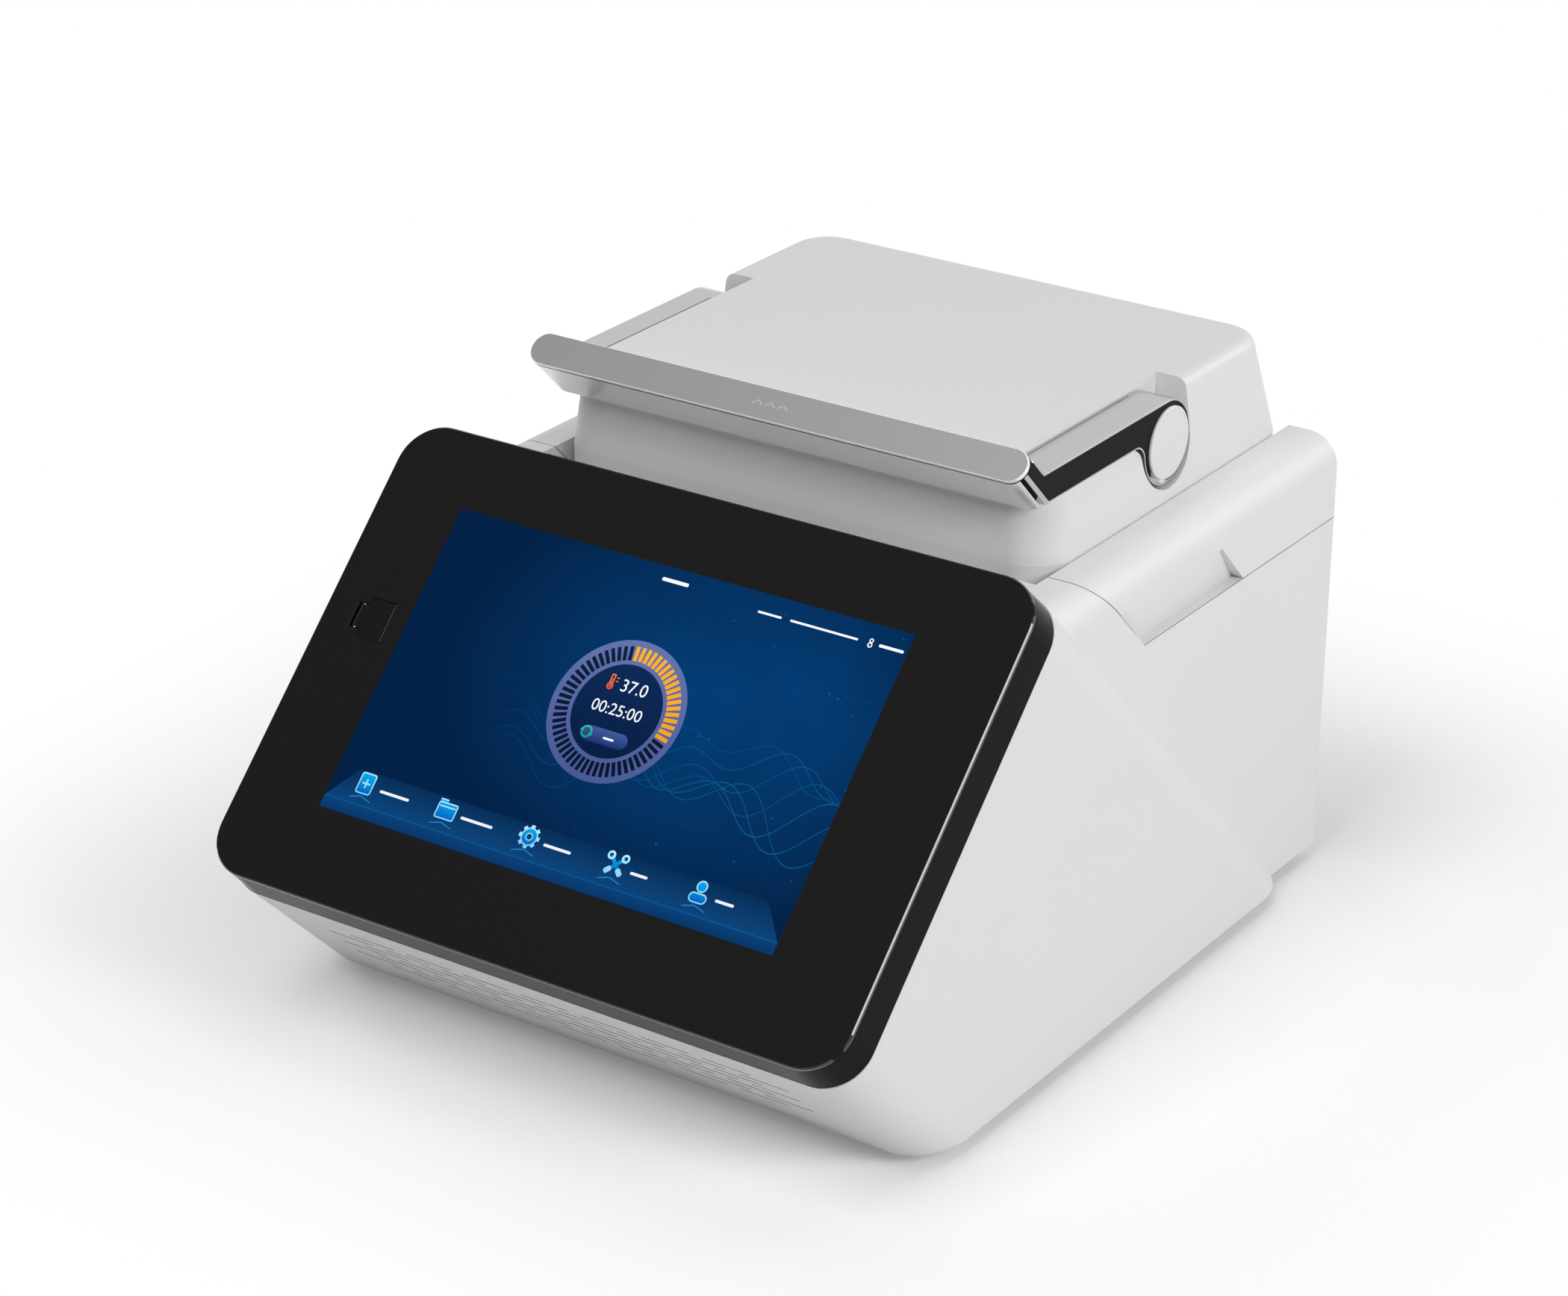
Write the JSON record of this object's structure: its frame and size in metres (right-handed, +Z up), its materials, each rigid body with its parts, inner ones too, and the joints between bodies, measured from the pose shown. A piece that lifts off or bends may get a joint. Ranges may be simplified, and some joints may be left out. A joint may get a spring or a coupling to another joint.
{
  "type": "thermal cycler",
  "caption": "Bench instrument that heats and cools sample tubes: a wedge-shaped case with a leaning touch screen, a hinged heated lid and a lever handle.",
  "frame": {"origin": "centre of the case's footprint on the surface it stands on", "axes": "+Z up, -Y towards the user and the display, +X to the user's right"},
  "size_m": [0.3034, 0.393, 0.2524],
  "materials": {
    "case_white": "fine moulded texture",
    "liner_grey": "satin",
    "display_black": "polished",
    "screen_glass": "polished, printed black behind",
    "screen": "lit panel",
    "circuit_board": "solder mask",
    "plated_steel": "zinc plated",
    "panel_grey": "powder coat",
    "cast_aluminium": "machined",
    "anodised_plate": "fine blasted, anodised",
    "lever_chrome": "satin chrome",
    "insert_black": "satin",
    "rubber_black": "moulded",
    "fan_black": "moulded",
    "ceramic_white": "ceramic faces",
    "graphite": "pressed sheet",
    "film_orange": "heater film",
    "connector_black": "moulded"
  },
  "bodies": {
    "base": {"air_duct": "fan_black", "base_pan": "panel_grey", "block_frame": "liner_grey", "block_screws": "plated_steel", "block_seal": "rubber_black", "board_posts": "plated_steel", "case_screws": "plated_steel", "data_ports": "connector_black", "display_board": "circuit_board", "display_bracket": "plated_steel", "display_housing": "display_black", "driver_board": "circuit_board", "fan_frames": "fan_black", "fan_screws": "plated_steel", "heat_sink": "cast_aluminium", "hinge_brackets": "plated_steel", "latch_keepers": "plated_steel", "lcd_module": "screen", "main_board": "circuit_board", "main_housing": "case_white", "peltier_modules": "ceramic_white", "power_inlet": "connector_black", "power_supply": "plated_steel", "power_switch": "connector_black", "rear_panel": "panel_grey", "rubber_feet": "rubber_black", "sample_block": "cast_aluminium", "sink_rail_left": "plated_steel", "sink_rail_right": "plated_steel", "thermal_sheet": "graphite", "top_cover": "case_white", "touch_glass": "screen_glass", "usb_door_pin": "plated_steel", "usb_socket": "plated_steel"},
    "lid": {"lid_shell": "case_white", "lid_liner": "liner_grey", "lid_frame": "plated_steel", "hinge_pins": "plated_steel", "lever_bushes": "liner_grey", "lid_screws": "plated_steel"},
    "lever": {"lever_arm_left": "lever_chrome", "lever_arm_right": "lever_chrome", "arm_insert_left": "insert_black", "arm_insert_right": "insert_black", "grip_bar": "lever_chrome", "grip_plate": "anodised_plate", "pivot_caps": "case_white", "lever_shaft": "plated_steel", "press_cams": "plated_steel", "latch_hooks": "plated_steel"},
    "heated_plate": {"heater_plate": "cast_aluminium", "heater_film": "film_orange", "plate_carrier": "liner_grey", "guide_posts": "plated_steel", "lift_springs": "plated_steel"},
    "door": {"usb_door": "display_black"},
    "fan_left": {"fan_rotor_left": "fan_black"},
    "fan_right": {"fan_rotor_right": "fan_black"},
    "rocker": {"power_rocker": "insert_black"},
    "drawer": {"fuse_drawer": "connector_black"}
  },
  "joints": [
    {"name": "lid_hinge", "type": "hinge", "parent": "base", "child": "lid", "pos_m": [0, 0.18, 0.196], "axis": [-1, 0, 0], "range_deg": [0, 75]},
    {"name": "lever_pivot", "type": "hinge", "parent": "lid", "child": "lever", "pos_m": [0, 0.09545, 0.2214], "axis": [-1, 0, 0], "range_deg": [0, 35]},
    {"name": "heated_plate_lift", "type": "slide", "parent": "lid", "child": "heated_plate", "axis": [0, 0, 1], "range_m": [0, 0.003], "deforming": ["lift_springs"]},
    {"name": "usb_door_hinge", "type": "hinge", "parent": "base", "child": "door", "pos_m": [-0.1338, -0.11366, 0.15729], "axis": [0, -0.7071, -0.7071], "range_deg": [0, 95]},
    {"name": "fan_left_spin", "type": "hinge", "parent": "base", "child": "fan_left", "pos_m": [-0.045, 0.1905, 0.115], "axis": [0, 1, 0], "continuous": true},
    {"name": "fan_right_spin", "type": "hinge", "parent": "base", "child": "fan_right", "pos_m": [0.045, 0.1905, 0.115], "axis": [0, 1, 0], "continuous": true},
    {"name": "power_rocker_tilt", "type": "hinge", "parent": "base", "child": "rocker", "pos_m": [-0.113, 0.1895, 0.122], "axis": [1, 0, 0], "range_deg": [0, 16]},
    {"name": "fuse_drawer_slide", "type": "slide", "parent": "base", "child": "drawer", "axis": [0, 1, 0], "range_m": [0, 0.015]}
  ],
  "couplings": [
    {"joint": "heated_plate_lift", "follows": "lever_pivot", "m_per_rad": 0.0049062}
  ]
}
